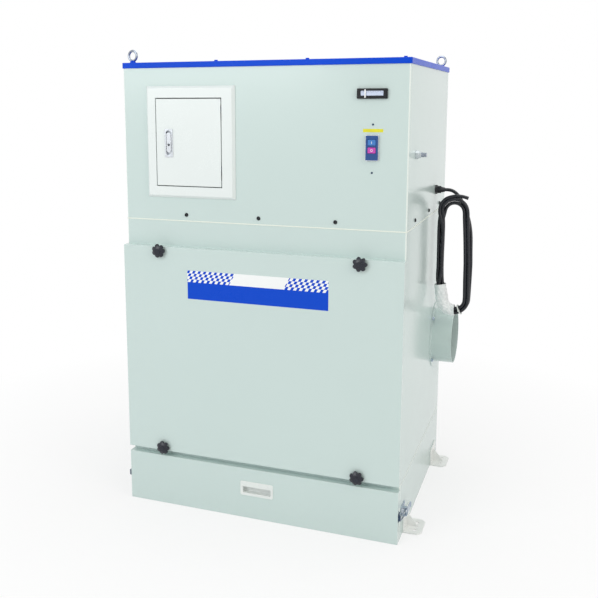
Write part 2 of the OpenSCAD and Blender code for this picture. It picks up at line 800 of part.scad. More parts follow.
module floor_brackets() color(white_paint) for (end = [-1, 1])
    floor_bracket(end * (cabinet_d / 2 - bracket_inset));

// Inlet, air fitting and cord gland on the right side

module inlet_spigot() color(ivory) translate([body_side, inlet_y, inlet_z]) difference() {
    union() {
        rod_x(inlet_r, inlet_len);
        rod_x(inlet_r + flange_reach, flange_t);
    }
    translate([-1, 0, 0]) rod_x(inlet_r - inlet_wall, inlet_len + 2);
}

// Nut, barrel and a grooved nipple for a quick coupler
module air_fitting() color(zinc) translate([body_side, air_y, air_z]) rotate([0, 90, 0]) {
    barrel_top = air_nut_h + air_barrel_h;
    cylinder(d = 26, h = air_nut_h, $fn = 6);
    cylinder(r = 10, h = barrel_top);
    difference() {
        cylinder(r = air_nipple_r, h = barrel_top + air_nipple_h);
        translate([0, 0, barrel_top + air_nipple_h * 0.6]) difference() {
            cylinder(r = air_nipple_r + 1, h = 3);
            translate([0, 0, -1]) cylinder(r = air_nipple_r - 1.5, h = 5);
        }
    }
}

// Hexagon nut, ribbed cap and a domed mouth for the cord
module cord_gland() color(black) translate([body_side, gland_y, gland_z]) rotate([0, 90, 0]) {
    cylinder(d = 32, h = gland_nut_h, $fn = 6);
    cylinder(r = gland_body_r, h = gland_nut_h + gland_body_h);
    for (k = [0:gland_ribs - 1]) rotate([0, 0, 360 * k / gland_ribs])
        translate([gland_body_r - 2, -1.3, gland_nut_h - 1]) cube([3.6, 2.6, gland_body_h - 1]);
    translate([0, 0, gland_nut_h + gland_body_h - 1])
        cylinder(r1 = gland_body_r - 0.6, r2 = cord_d / 2 + 1.5, h = gland_dome_h + 1);
}

// Power cord: the lead to the coil and its cut end, the coil, and a sleeve round the coil

module power_cord() color(black) {
    swept(cord_points, cord_d);
    swept(tail_points, cord_d);
}

// The coil's outline grown on each side by grow
module coil_outline(grow = 0) difference() {
    height = coil_high - coil_low;
    slot_outline(2 * coil_r + coil_bundle + 2 * grow, height + 2 * grow);
    slot_outline(2 * coil_r - coil_bundle - 2 * grow, height - 2 * coil_bundle - 2 * grow);
}

module cord_coil() color(black)
    upright(coil_x, (coil_low + coil_high) / 2, coil_y - coil_bundle / 2, coil_bundle) coil_outline();

// Soft white sleeve round the lower left bend
module cord_sleeve() color([0.95, 0.96, 0.97]) {
    middle = (coil_low + coil_high) / 2;
    bend_z = coil_low + coil_r + coil_bundle / 2;
    reach = coil_r + coil_bundle / 2 + sleeve_t;
    intersection() {
        difference() {
            upright(coil_x, middle, coil_y - coil_bundle / 2 - sleeve_t, coil_bundle + 2 * sleeve_t) coil_outline(sleeve_t);
            upright(coil_x, middle, coil_y - coil_bundle / 2, coil_bundle) coil_outline();
        }
        span([coil_x - reach - 1, coil_y - coil_bundle, bend_z - reach * 0.82], [coil_x - 4, coil_y + coil_bundle, bend_z + 34]);
    }
}

// Louvre plate on the rear of the fan chamber: slots under quarter-round hoods

module louvre_hood() {
    difference() {
        rod_x(louvre_hood_r, louvre_len, centre = true);
        rod_x(louvre_hood_r - louvre_hood_t, louvre_len - 2 * louvre_hood_t, centre = true);
        translate([0, -louvre_hood_r, 0]) cube([louvre_len + 2, 2 * louvre_hood_r, 2 * louvre_hood_r + 2], center = true);
        translate([0, 0, -louvre_hood_r]) cube([louvre_len + 2, 2 * louvre_hood_r + 2, 2 * louvre_hood_r], center = true);
    }
}

module exhaust_louvre() color(ivory) {
    row_z = function(row) louvre_z + (row - (louvre_rows - 1) / 2) * louvre_pitch;
    difference() {
        face_box(0, louvre_z, louvre_plate_w, louvre_plate_h, body_rear, louvre_plate_t);
        for (x = [-1, 1], row = [0:louvre_rows - 1])
            face_box(x * louvre_column_x, row_z(row), louvre_len - 2 * louvre_hood_t, louvre_slot_h, body_rear - 1, louvre_plate_t + 2);
    }
    for (x = [-1, 1], row = [0:louvre_rows - 1])
        translate([x * louvre_column_x, body_rear + louvre_plate_t - eps, row_z(row) - louvre_slot_h / 2]) louvre_hood();
}

base_pan();
left_wall();
right_wall();
rear_wall();
front_frame();
seam_deck();
upper_left_wall();
upper_right_wall();
upper_rear_wall();
upper_front_wall();
lid();
lifting_eyes();
control_frame();
control_box();
control_hinge();
control_door();
lock_plate();
lock_lever();
gauge_case();
gauge_dial();
switch_case();
switch_on_button();
switch_off_button();
front_cover();
knob_upper_left();
knob_upper_right();
knob_lower_left();
knob_lower_right();
drawer_front();
drawer_tray();
drawer_pull();
drawer_hooks();
latch_bases();
latch_lever_right();
latch_bail_right();
latch_lever_left();
latch_bail_left();
floor_brackets();
inlet_spigot();
air_fitting();
cord_gland();
power_cord();
cord_coil();
cord_sleeve();
exhaust_louvre();
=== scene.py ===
"""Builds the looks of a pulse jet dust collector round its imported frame."""
import bisect
import math

import bpy
from mathutils import Matrix, Vector


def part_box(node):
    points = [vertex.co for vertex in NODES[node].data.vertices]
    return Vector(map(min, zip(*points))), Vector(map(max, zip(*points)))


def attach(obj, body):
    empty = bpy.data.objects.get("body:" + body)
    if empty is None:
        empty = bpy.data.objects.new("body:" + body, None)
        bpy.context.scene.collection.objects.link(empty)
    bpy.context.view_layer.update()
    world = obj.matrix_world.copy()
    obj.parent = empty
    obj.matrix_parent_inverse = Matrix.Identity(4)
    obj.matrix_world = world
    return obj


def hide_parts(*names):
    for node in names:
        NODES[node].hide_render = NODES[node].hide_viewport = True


bl_info = {
    "name": "Dust Collector Looks",
    "version": (1, 0, 0),
    "blender": (4, 5, 0),
    "location": "View3D > Sidebar > Dust Collector",
    "description": "Dresses the packed dust collector with finishes, fittings, cord and stage",
    "category": "Object",
}

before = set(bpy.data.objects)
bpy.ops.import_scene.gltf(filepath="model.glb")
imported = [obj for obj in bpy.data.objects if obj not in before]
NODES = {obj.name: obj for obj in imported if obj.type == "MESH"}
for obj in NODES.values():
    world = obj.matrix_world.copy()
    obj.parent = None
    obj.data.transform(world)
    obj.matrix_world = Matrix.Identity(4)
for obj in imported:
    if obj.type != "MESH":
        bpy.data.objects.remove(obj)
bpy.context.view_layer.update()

# Faces and levels of the cabinet, in metres
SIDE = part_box("upper_right_wall")[1].x
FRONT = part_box("upper_front_wall")[0].y
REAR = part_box("upper_rear_wall")[1].y
SEAM = (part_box("seam_deck")[0].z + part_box("seam_deck")[1].z) / 2
COVER_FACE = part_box("front_cover")[0].y
LID_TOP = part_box("lid")[1].z
# How far a printed strip stands off its panel
LABEL_STAND = 0.0004


def linear(red, green, blue):
    """A colour as seen on a screen, 0 to 255, as the linear colour that a shader takes."""
    shares = [value / 255 for value in (red, green, blue)]
    return tuple(s / 12.92 if s < 0.04 else ((s + 0.055) / 1.055) ** 2.4 for s in shares)


def colour_property(name, description, default):
    return bpy.props.FloatVectorProperty(
        name=name, description=description, default=default, size=3, min=0, max=1, subtype="COLOR")


def number_property(name, description, default, **kind):
    return bpy.props.FloatProperty(name=name, description=description, default=default, **kind)


def length_property(name, description, default):
    return number_property(name, description, default, min=0, unit="LENGTH", subtype="DISTANCE", precision=4)


def angle_property(name, description, degrees):
    return number_property(name, description, math.radians(degrees), subtype="ANGLE")


class CollectorColours(bpy.types.PropertyGroup):
    cabinet: colour_property("Cabinet", "Powder coat of the walls, cover and drawer", linear(204, 220, 217))
    lid: colour_property("Lid", "Paint of the lid", linear(0, 72, 210))
    white: colour_property("White", "Paint of the control door and its frame", linear(232, 238, 237))
    seam: colour_property("Seam", "Paint of the seam edge", linear(234, 240, 230))
    band: colour_property("Band", "Blue of the band and the checks on the cover's label", linear(10, 74, 204))
    warning: colour_property("Strip", "Yellow strip above the switch", linear(226, 220, 40))
    switch: colour_property("Switch", "Moulded body of the switch", linear(40, 78, 140))
    start: colour_property("Start button", "Upper button of the switch", linear(60, 122, 196))
    stop: colour_property("Stop button", "Lower button of the switch", linear(196, 70, 176))
    knob: colour_property("Knob", "Moulded star knobs", linear(18, 22, 36))


class CollectorSizes(bpy.types.PropertyGroup):
    fold: length_property("Fold radius", "Rounding of the folded sheet edges", 0.0012)
    seam_screw: length_property("Seam screw", "Head diameter of the black seam screws", 0.0135)
    small_screw: length_property("Small screw", "Head diameter of the small screws", 0.0065)
    flange_bolt: length_property("Flange bolt", "Width over corners of the flange bolts", 0.011)
    film_thickness: length_property("Film", "Thickness of the film round the cord", 0.0004)


class CollectorStage(bpy.types.PropertyGroup):
    place: bpy.props.FloatVectorProperty(
        name="Camera place", description="Where the camera stands", default=(0.9237, -2.7517, 1.3644),
        subtype="TRANSLATION")
    yaw: angle_property("Yaw", "Turn of the camera to the left", 20.223)
    pitch: angle_property("Pitch", "Tilt of the camera, up is positive", -9.414)
    roll: angle_property("Roll", "Turn about the line of sight", -0.068)
    lens: number_property("Lens", "Focal length on a 36 mm sensor", 49.044, min=1, unit="CAMERA")
    shift: bpy.props.FloatVectorProperty(
        name="Shift", description="Shift of the lens, in picture widths", default=(0.0448, -0.0987), size=2)
    key_power: number_property("Key", "Power of the front lamp", 54, unit="POWER")
    side_power: number_property("Side", "Power of the right lamp", 25, unit="POWER")
    top_power: number_property("Top", "Power of the upper lamp", 44, unit="POWER")
    ambient: number_property("Ambient", "Light from all round", 0.58, min=0, max=1)


# Selecting and finishing pieces

def clear_selection():
    if bpy.context.object and bpy.context.object.mode != "OBJECT":
        bpy.ops.object.mode_set(mode="OBJECT")
    bpy.ops.object.select_all(action="DESELECT")


def take(piece):
    """Makes a piece the only one selected, and the active one."""
    clear_selection()
    piece.select_set(True)
    bpy.context.view_layer.objects.active = piece
    return piece


def edit(piece, mode="FACE", action="DESELECT"):
    take(piece)
    bpy.ops.object.mode_set(mode="EDIT")
    bpy.ops.mesh.select_mode(type=mode)
    bpy.ops.mesh.select_all(action=action)


def leave_edit():
    bpy.ops.object.mode_set(mode="OBJECT")


def pick_faces(piece, test):
    """Selects the faces whose middle and normal pass the test. Starts and ends in edit mode."""
    leave_edit()
    for polygon in piece.data.polygons:
        polygon.select = test(polygon.center, polygon.normal)
    bpy.ops.object.mode_set(mode="EDIT")


def settle(piece):
    """Moves a piece's place into its mesh."""
    take(piece)
    bpy.ops.object.transform_apply(location=True, rotation=True, scale=True)
    return piece


def link_object(name, data):
    piece = bpy.data.objects.new(name, data)
    bpy.context.scene.collection.objects.link(piece)
    return piece


def cylinder(radius, depth, middle_z, vertices):
    """Upright cylinder about a height."""
    clear_selection()
    bpy.ops.mesh.primitive_cylinder_add(vertices=vertices, radius=radius, depth=depth, location=(0, 0, middle_z))
    return settle(bpy.context.object)


def block(size, middle, turn=0):
    """Box of a size about its middle, turned about Z."""
    clear_selection()
    bpy.ops.mesh.primitive_cube_add(size=1, location=middle, rotation=(0, 0, turn))
    bpy.context.object.scale = size
    return settle(bpy.context.object)


def joined(*pieces):
    """Joins the pieces into the first one."""
    clear_selection()
    for piece in pieces:
        piece.select_set(True)
    bpy.context.view_layer.objects.active = pieces[0]
    if len(pieces) > 1:
        bpy.ops.object.join()
    return pieces[0]


def shade_by_angle(piece, angle):
    take(piece)
    bpy.ops.object.shade_smooth_by_angle(angle=math.radians(angle))


def apply_modifier(piece, kind, **values):
    take(piece)
    modifier = piece.modifiers.new(kind.title(), kind)
    for name, value in values.items():
        setattr(modifier, name, value)
    bpy.ops.object.modifier_apply(modifier=modifier.name)


def round_edges(piece, width, segments=2, angle=35, material=-1):
    """Bevels the sharp edges and keeps the flat faces flat in the light."""
    shade_by_angle(piece, angle)
    apply_modifier(piece, "BEVEL", width=width, segments=segments, limit_method="ANGLE",
                   angle_limit=math.radians(angle), use_clamp_overlap=True, harden_normals=True, material=material)
    apply_modifier(piece, "WEIGHTED_NORMAL", keep_sharp=True)
    return piece


def dress(piece, body, slot, *materials):
    """Gives a piece its materials and its body. The slot is not used."""
    for material in materials:
        piece.data.materials.append(bpy.data.materials[material])
    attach(piece, body)
    return piece


def paint_faces(piece, slot_index, test):
    for polygon in piece.data.polygons:
        if test(polygon.center, polygon.normal):
            polygon.material_index = slot_index


# Points this near are one point, and faces that turn less than this are one face
WELD_GAP = 0.00002
FLAT_ANGLE = math.radians(0.6)


def copy_of(name, node):
    """A welded copy of a CAD node, with its flat faces whole again."""
    piece = link_object(name, NODES[node].data.copy())
    piece.data.materials.clear()
    piece.name = piece.data.name = name
    take(piece)
    bpy.ops.mesh.customdata_custom_splitnormals_clear()
    edit(piece, "VERT", "SELECT")
    bpy.ops.mesh.remove_doubles(threshold=WELD_GAP)
    bpy.ops.mesh.dissolve_limited(angle_limit=FLAT_ANGLE, use_dissolve_boundaries=False)
    leave_edit()
    return piece


def replace_node(name, node, body, slot, material, width=None, segments=2, angle=35, more=(), edge=-1):
    """A welded, bevelled piece in place of a CAD node. The bevels may have a material of their own, such as a painted
    highlight.
    """
    sizes = bpy.context.scene.collector_sizes
    piece = copy_of(name, node)
    dress(piece, body, slot, material, *more)
    round_edges(piece, sizes.fold if width is None else width, segments, angle, edge)
    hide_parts(node)
    return piece


def replace_wall(name, node):
    """A welded wall in place of a CAD node, with its rounded corners in a lighter coat that is a painted highlight.
    """
    piece = copy_of(name, node)
    dress(piece, "cabinet", "cabinet_paint", "cabinet_powder_coat", "cabinet_painted_highlight")
    shade_by_angle(piece, 35)
    # Faces that turn across a corner get the lighter coat, a painted highlight
    paint_faces(piece, 1, lambda middle, normal: min(abs(normal.x), abs(normal.y)) > 0.2)
    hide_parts(node)
    return piece


def finish_node(node, material):
    """Keeps a CAD node as it is and gives it a finish."""
    NODES[node].data.materials.clear()
    NODES[node].data.materials.append(bpy.data.materials[material])


def aim(piece, place, direction):
    """Turns a piece made along +Z to a direction and moves it to its place."""
    turn = Vector(direction).to_track_quat("Z", "Y").to_matrix().to_4x4()
    piece.matrix_world = Matrix.Translation(place) @ turn
    return settle(piece)


def copies_at(model, name, spots, body, slot, *materials):
    """Copies a model made at the origin to each (place, direction), then removes the model."""
    made = []
    for index, (place, direction) in enumerate(spots):
        copy = model.copy()
        copy.data = model.data.copy()
        bpy.context.scene.collection.objects.link(copy)
        copy.name = copy.data.name = f"{name}_{index + 1}"
        aim(copy, place, direction)
        made.append(dress(copy, body, slot, *materials))
    bpy.data.objects.remove(model, do_unlink=True)
    return made


# Fasteners, modelled with their seat at the origin and their head along +Z

def socket_screw(diameter, height):
    """Domed screw head with a six-sided socket."""
    head = cylinder(diameter / 2, height, height / 2, 32)
    edit(head)
    pick_faces(head, lambda middle, normal: normal.z > 0.9)
    bpy.ops.transform.resize(value=(0.72, 0.72, 1))
    bpy.ops.mesh.inset(thickness=diameter * 0.03)
    leave_edit()
    socket = cylinder(diameter * 0.25, height, height, 6)
    apply_modifier(head, "BOOLEAN", operation="DIFFERENCE", object=socket, solver="EXACT")
    bpy.data.objects.remove(socket, do_unlink=True)
    return round_edges(head, diameter * 0.03, 2, 30)


def cross_screw(diameter, height):
    """Pan-head screw with a cross recess."""
    head = cylinder(diameter / 2, height, height / 2, 28)
    edit(head)
    pick_faces(head, lambda middle, normal: normal.z > 0.9)
    bpy.ops.transform.resize(value=(0.8, 0.8, 1))
    leave_edit()
    for turn in (0, math.pi / 2):
        cutter = block((diameter * 0.52, diameter * 0.1, height * 0.8), (0, 0, height), turn)
        apply_modifier(head, "BOOLEAN", operation="DIFFERENCE", object=cutter, solver="EXACT")
        bpy.data.objects.remove(cutter, do_unlink=True)
    return round_edges(head, diameter * 0.025, 1, 30)


def hex_bolt(corners, height, washer):
    """Six-sided bolt head on a washer."""
    plate = cylinder(washer / 2, height * 0.25, height * 0.125, 40)
    round_edges(plate, height * 0.05, 1, 30)
    head = cylinder(corners / 2, height * 0.8, height * 0.62, 6)
    edit(head)
    pick_faces(head, lambda middle, normal: normal.z > 0.9)
    bpy.ops.mesh.inset(thickness=corners * 0.06)
    bpy.ops.transform.translate(value=(0, 0, height * 0.06))
    leave_edit()
    round_edges(head, height * 0.04, 1, 30)
    return joined(head, plate)


def flat_plate(name, low, high, edge):
    """Thin plate between two corners, with its edges rounded."""
    plate = block(Vector(high) - Vector(low), (Vector(low) + Vector(high)) / 2)
    plate.name = plate.data.name = name
    return round_edges(plate, edge)


# Materials. Every pattern is read from Object coordinates, in metres.

def begin_material(name):
    material = bpy.data.materials.new(name)
    material.use_nodes = True
    return material.node_tree, material.node_tree.nodes["Principled BSDF"]


def noise_from(tree, vector, scale, detail=2.0, roughness=0.5):
    texture = tree.nodes.new("ShaderNodeTexNoise")
    texture.inputs["Scale"].default_value = scale
    texture.inputs["Detail"].default_value = detail
    texture.inputs["Roughness"].default_value = roughness
    tree.links.new(vector, texture.inputs["Vector"])
    return texture.outputs[0]


def ranged(tree, value, low, high, start=0.3, end=0.7):
    spread = tree.nodes.new("ShaderNodeMapRange")
    for name, number in (("From Min", start), ("From Max", end), ("To Min", low), ("To Max", high)):
        spread.inputs[name].default_value = number
    tree.links.new(value, spread.inputs["Value"])
    return spread.outputs["Result"]


def blended(tree, factor, first, second):
    """Mix of two colours. Each is a colour or a socket."""
    mix = tree.nodes.new("ShaderNodeMix")
    mix.data_type = "RGBA"
    tree.links.new(factor, mix.inputs[0])
    for socket, value in ((mix.inputs[6], first), (mix.inputs[7], second)):
        if isinstance(value, bpy.types.NodeSocket):
            tree.links.new(value, socket)
        else:
            socket.default_value = (*value, 1)
    return mix.outputs[2]


def calc(tree, operation, value, limit):
    """A math operation of a socket with a number or another socket."""
    test = tree.nodes.new("ShaderNodeMath")
    test.operation = operation
    tree.links.new(value, test.inputs[0])
    if isinstance(limit, bpy.types.NodeSocket):
        tree.links.new(limit, test.inputs[1])
    elif limit is not None:
        test.inputs[1].default_value = limit
    return test.outputs[0]


def scaled(colour, factor):
    return tuple(min(1, channel * factor) for channel in colour)


def surface(name, colour, roughness, metallic=0.0, coat=0.0, shade=0.03, patch=2.5, grain=(1, 1, 1),
            grain_scale=500, bump=0.05, spread=0.05, dust_and_shade=0.0, specular=0.5):
    """A finish with slow changes of shade, a fine grain in its gloss and relief, and dust with painted shade near the
    floor.
    """
    tree, shader = begin_material(name)
    place = tree.nodes.new("ShaderNodeTexCoord").outputs["Object"]
    patches = ranged(tree, noise_from(tree, place, patch, 4), 0, 1)
    tone = blended(tree, patches, scaled(colour, 1 - shade), scaled(colour, 1 + shade))
    # Darker towards the floor, in speckles: dust, and painted shade near the floor
    if dust_and_shade:
        split = tree.nodes.new("ShaderNodeSeparateXYZ")
        tree.links.new(place, split.inputs[0])
        speckle = noise_from(tree, place, 55, 6, 0.65)
        low = ranged(tree, split.outputs["Z"], dust_and_shade, 0, 0.0, 0.16)
        amount = calc(tree, "MULTIPLY", low, ranged(tree, speckle, 0.2, 1, 0.35, 0.65))
        tone = blended(tree, amount, tone, scaled(colour, 0.62))
    tree.links.new(tone, shader.inputs["Base Color"])
    mapping = tree.nodes.new("ShaderNodeMapping")
    mapping.inputs["Scale"].default_value = grain
    tree.links.new(place, mapping.inputs["Vector"])
    fine = noise_from(tree, mapping.outputs["Vector"], grain_scale, 3)
    smear = noise_from(tree, place, patch * 3, 5, 0.6)
    both = calc(tree, "MULTIPLY", fine, smear)
    tree.links.new(ranged(tree, both, roughness - spread, roughness + spread, 0.12, 0.42), shader.inputs["Roughness"])
    relief = tree.nodes.new("ShaderNodeBump")
    relief.inputs["Strength"].default_value = bump
    relief.inputs["Distance"].default_value = 0.001
    tree.links.new(fine, relief.inputs["Height"])
    tree.links.new(relief.outputs["Normal"], shader.inputs["Normal"])
    shader.inputs["Metallic"].default_value = metallic
    shader.inputs["Coat Weight"].default_value = coat
    shader.inputs["Coat Roughness"].default_value = 0.12
    shader.inputs["Specular IOR Level"].default_value = specular
    return tree, shader


def label_surface(name, paper, band, split_z, check_x, check):
    """Printed film: a band below a line, white above it, with checks at both ends."""
    tree, shader = surface(name, paper, 0.3, grain_scale=900, bump=0.02, specular=0.15)
    place = tree.nodes.new("ShaderNodeTexCoord").outputs["Object"]
    split = tree.nodes.new("ShaderNodeSeparateXYZ")
    tree.links.new(place, split.inputs[0])
    below = calc(tree, "LESS_THAN", split.outputs["Z"], split_z)
    lean = calc(tree, "MULTIPLY", calc(tree, "SUBTRACT", split.outputs["Z"], split_z), -0.55)
    across = calc(tree, "ADD", split.outputs["X"], lean)
    ends = calc(tree, "GREATER_THAN", calc(tree, "ABSOLUTE", across, None), check_x)
    columns = calc(tree, "FLOORED_MODULO", calc(tree, "FLOOR", calc(
        tree, "DIVIDE", across, check), None), 2)
    rows = calc(tree, "FLOORED_MODULO", calc(tree, "FLOOR", calc(
        tree, "DIVIDE", calc(tree, "SUBTRACT", split.outputs["Z"], split_z), check), None), 2)
    checks = calc(tree, "COMPARE", columns, rows)
    blue = calc(tree, "MAXIMUM", below, calc(tree, "MULTIPLY", ends, checks))
    tone = shader.inputs["Base Color"].links[0].from_socket
    tree.links.new(blended(tree, blue, tone, band), shader.inputs["Base Color"])


def make_materials():
    colours = bpy.context.scene.collector_colours
    # The coat darkens near the floor: dust and painted shade
    surface("cabinet_powder_coat", colours.cabinet, 0.22, coat=0.1, shade=0.014, patch=1.3, grain_scale=420,
            bump=0.03, spread=0.025, dust_and_shade=0.05)
    # Lighter coat on rounded corners and bevels: a painted highlight along the folded edges
    surface("cabinet_painted_highlight", linear(238, 246, 241), 0.28, shade=0.01, grain_scale=420, bump=0.02)
    surface("lid_blue_paint", colours.lid, 0.3, shade=0.06, patch=3, grain_scale=420, bump=0.03, specular=0.12)
    surface("white_paint", colours.white, 0.26, coat=0.1, shade=0.012, grain_scale=420, bump=0.03, spread=0.03)
    surface("seam_paint", colours.seam, 0.30, shade=0.02, grain_scale=420, bump=0.02)
    surface("bracket_paint", linear(243, 245, 243), 0.3, coat=0.1, shade=0.015, grain_scale=420, bump=0.03)
    surface("box_inner_paint", linear(206, 208, 206), 0.5, shade=0.03, grain_scale=420)
    surface("zinc_plate", linear(178, 190, 203), 0.32, metallic=1, shade=0.06, patch=45, grain_scale=260,
            bump=0.03, spread=0.08)
    surface("bright_zinc", linear(208, 213, 217), 0.26, metallic=0.85, shade=0.03, patch=45, grain_scale=260,
            bump=0.02, spread=0.05)
    surface("polished_steel", linear(150, 157, 168), 0.18, metallic=1, shade=0.08, patch=60, grain_scale=600,
            bump=0.02, spread=0.05)
    surface("brushed_metal", linear(200, 204, 209), 0.27, metallic=1, shade=0.02, patch=30, grain=(14, 14, 0.6),
            grain_scale=160, bump=0.02, spread=0.05)
    # Dark bluish steel: painted shade and reflection on the stainless latch hooks
    surface("steel_painted_shade", linear(58, 74, 98), 0.36, metallic=0.85, shade=0.12, patch=50, grain_scale=300)
    surface("gauge_gloss_black", linear(14, 16, 22), 0.2, shade=0.15, patch=30, grain_scale=800, bump=0.02,
            specular=0.35)
    surface("dial_print", linear(206, 216, 238), 0.35, shade=0.03, patch=40, grain_scale=900, bump=0.01)
    surface("pointer_white", linear(248, 249, 250), 0.3, shade=0.02, patch=60, grain_scale=900, bump=0.01)
    surface("switch_blue_plastic", colours.switch, 0.3, shade=0.08, patch=40, grain_scale=900, bump=0.05,
            specular=0.35)
    surface("start_button_plastic", colours.start, 0.28, shade=0.06, patch=60, grain_scale=900, bump=0.04)
    surface("stop_button_plastic", colours.stop, 0.28, shade=0.06, patch=60, grain_scale=900, bump=0.04)
    surface("knob_plastic", colours.knob, 0.3, shade=0.2, patch=60, grain_scale=1100, bump=0.1, spread=0.07)
    surface("pull_plastic", linear(232, 236, 234), 0.3, shade=0.02, patch=20, grain_scale=900, bump=0.04)
    surface("black_oxide", linear(22, 24, 30), 0.42, metallic=0.3, shade=0.15, patch=80, grain_scale=900)
    surface("gland_nylon", linear(18, 20, 28), 0.36, shade=0.15, patch=60, grain_scale=1000, bump=0.06)
    surface("cord_rubber", linear(18, 20, 30), 0.3, shade=0.22, patch=14, grain_scale=420, bump=0.06, spread=0.06)
    surface("film_plastic", linear(244, 247, 248), 0.3, coat=0.2, shade=0.02, patch=18, grain=(1, 1, 2.2),
            grain_scale=42, bump=0.6, spread=0.08)
    surface("tie_nylon", linear(236, 238, 236), 0.32, shade=0.02, patch=60, grain_scale=900, bump=0.03)
    surface("yellow_film", colours.warning, 0.34, shade=0.06, patch=60, grain_scale=900, bump=0.03)
    surface("tray_galvanised", linear(186, 192, 196), 0.44, metallic=0.45, shade=0.05, patch=16, grain_scale=180,
            bump=0.04, spread=0.08)
    label_surface("cover_label_film", linear(246, 248, 248), colours.band, 0.7925, 0.092, 0.0096)


# Camera, cord and film

def route_between(points, steps):
    """Smooth line through the points, with some steps between each two."""
    line = []
    for index in range(len(points) - 1):
        before = points[max(index - 1, 0)]
        start, end = points[index], points[index + 1]
        after = points[min(index + 2, len(points) - 1)]
        for step in range(steps):
            t = step / steps
            line.append(0.5 * (2 * start + (end - before) * t
                               + (2 * before - 5 * start + 4 * end - after) * t * t
                               + (3 * start - 3 * end + after - before) * t ** 3))
    line.append(points[-1])
    return line


class CoilShape:
    """The hanging coil of the cord: where its turns run and how they lie on each other."""
    depth = 0.100
    bends = ((0.549, 0.997, 0.044), (0.556, 0.815, 0.044), (0.557, 0.690, 0.043), (0.547, 0.765, 0.043))
    pitch = 0.012

    def __init__(self):
        self.marks, self.distances = [], [0]
        for step in range(721):
            angle = 2 * math.pi * step / 720
            x, z, radius = max(self.bends, key=lambda b: b[0] * math.sin(angle) + b[1] * math.cos(angle) + b[2])
            self.marks.append(Vector((x + radius * math.sin(angle), self.depth, z + radius * math.cos(angle))))
        for here, there in zip(self.marks, self.marks[1:]):
            self.distances.append(self.distances[-1] + (there - here).length)
        self.length = self.distances[-1]

    def middle_line(self, share):
        """Point and outward direction on the middle line, a share of a turn on from the top."""
        along = (share % 1) * self.length
        index = min(bisect.bisect_right(self.distances, along), len(self.distances) - 1)
        start, end = self.marks[index - 1], self.marks[index]
        way = (end - start).normalized()
        return start + way * (along - self.distances[index - 1]), Vector((-way.z, 0, way.x))

    def turn_of_bundle(self, share):
        """How far the bundle is turned: flat to the viewer on the right and below, upright on the left."""
        share %= 1
        marks = ((0, 1), (0.58, 1), (0.70, 0), (0.84, 0), (0.96, 1), (1, 1))
        for (start, first), (end, second) in zip(marks, marks[1:]):
            if start <= share <= end:
                t = (share - start) / (end - start)
                t = t * t * (3 - 2 * t)
                return math.pi / 2 * (first + (second - first) * t)
        return math.pi / 2

    def strand(self, turns):
        """Place of the cord after some turns: down one row of the bundle and back along the next."""
        centre, out = self.middle_line(turns)
        angle = self.turn_of_bundle(turns)
        blend = min(1, max(0, (turns - 1.75) / 0.5))
        row = self.pitch * 0.55 * (1 - 2 * blend * blend * (3 - 2 * blend))
        step = self.pitch * ((turns if turns < 2 else 4 - turns) - 1)
        outward = row * math.cos(angle) - step * math.sin(angle)
        back = row * math.sin(angle) + step * math.cos(angle)
        loose = 0.0007 * math.sin(turns * 9.1) + 0.0005 * math.sin(turns * 23.7)
        return centre + out * (outward + loose) + Vector((0, back - loose, 0))


CORD_DIAMETER = 0.012
CORD_EXIT = (0.5065, 0.143, 1.069)
CORD_LEAD = [CORD_EXIT, (0.518, 0.143, 1.069), (0.53, 0.1415, 1.0672), (0.5415, 0.138, 1.062),
             (0.5525, 0.134, 1.053), (0.563, 0.13, 1.0405), (0.5725, 0.1262, 1.025), (0.5815, 0.123, 1.007),
             (0.59, 0.1208, 0.985), (0.5975, 0.1186, 0.96), (0.6035, 0.1138, 0.93), (0.606, 0.1092, 0.906)]
# Where the cord joins and leaves the coil, in turns, and what hangs past it
CORD_TURNS = (0.20, 4.0)
TAIL_LENGTH = 0.046
# Where the film starts and ends and where the tie sits, as shares of a turn
FILM_SHARES = (0.497, 0.632)
FILM_RADIUS = 0.0186
TIE_SHARE = 0.478


def cord_route():
    """The whole cord: lead, turns and cut end."""
    coil = CoilShape()
    points = [Vector(p) for p in CORD_LEAD]
    first, last = CORD_TURNS
    count = 144
    points += [coil.strand(first + (last - first) * index / count) for index in range(count + 1)]
    end = points[-1]
    way = (end - coil.strand(last - 0.01)).normalized()
    for share in (0.33, 0.66, 1):
        along = TAIL_LENGTH * share
        points.append(end + way * along + Vector((0, -0.003 * share, -0.011 * share * share)))
    return route_between(points, 3)


class COLLECTOR_OT_camera(bpy.types.Operator):
    """Puts the camera at the photograph's place and angle"""
    bl_idname = "collector.camera"
    bl_label = "Camera"

    def execute(self, context):
        stage = context.scene.collector_stage
        data = bpy.data.cameras.new("main_camera")
        camera = link_object("main_camera", data)
        turn, tilt, roll = stage.yaw, stage.pitch, stage.roll
        ahead = Vector((-math.sin(turn) * math.cos(tilt), math.cos(turn) * math.cos(tilt), math.sin(tilt)))
        level = Vector((math.cos(turn), math.sin(turn), 0))
        upward = level.cross(ahead)
        right = math.cos(roll) * level + math.sin(roll) * upward
        up = -math.sin(roll) * level + math.cos(roll) * upward
        axes = Matrix((right, up, -ahead)).transposed().to_4x4()
        camera.matrix_world = Matrix.Translation(stage.place) @ axes
        data.lens, data.sensor_width = stage.lens, 36
        data.shift_x, data.shift_y = stage.shift
        data.clip_start, data.clip_end = 0.05, 100
        context.scene.camera = camera
        return {"FINISHED"}


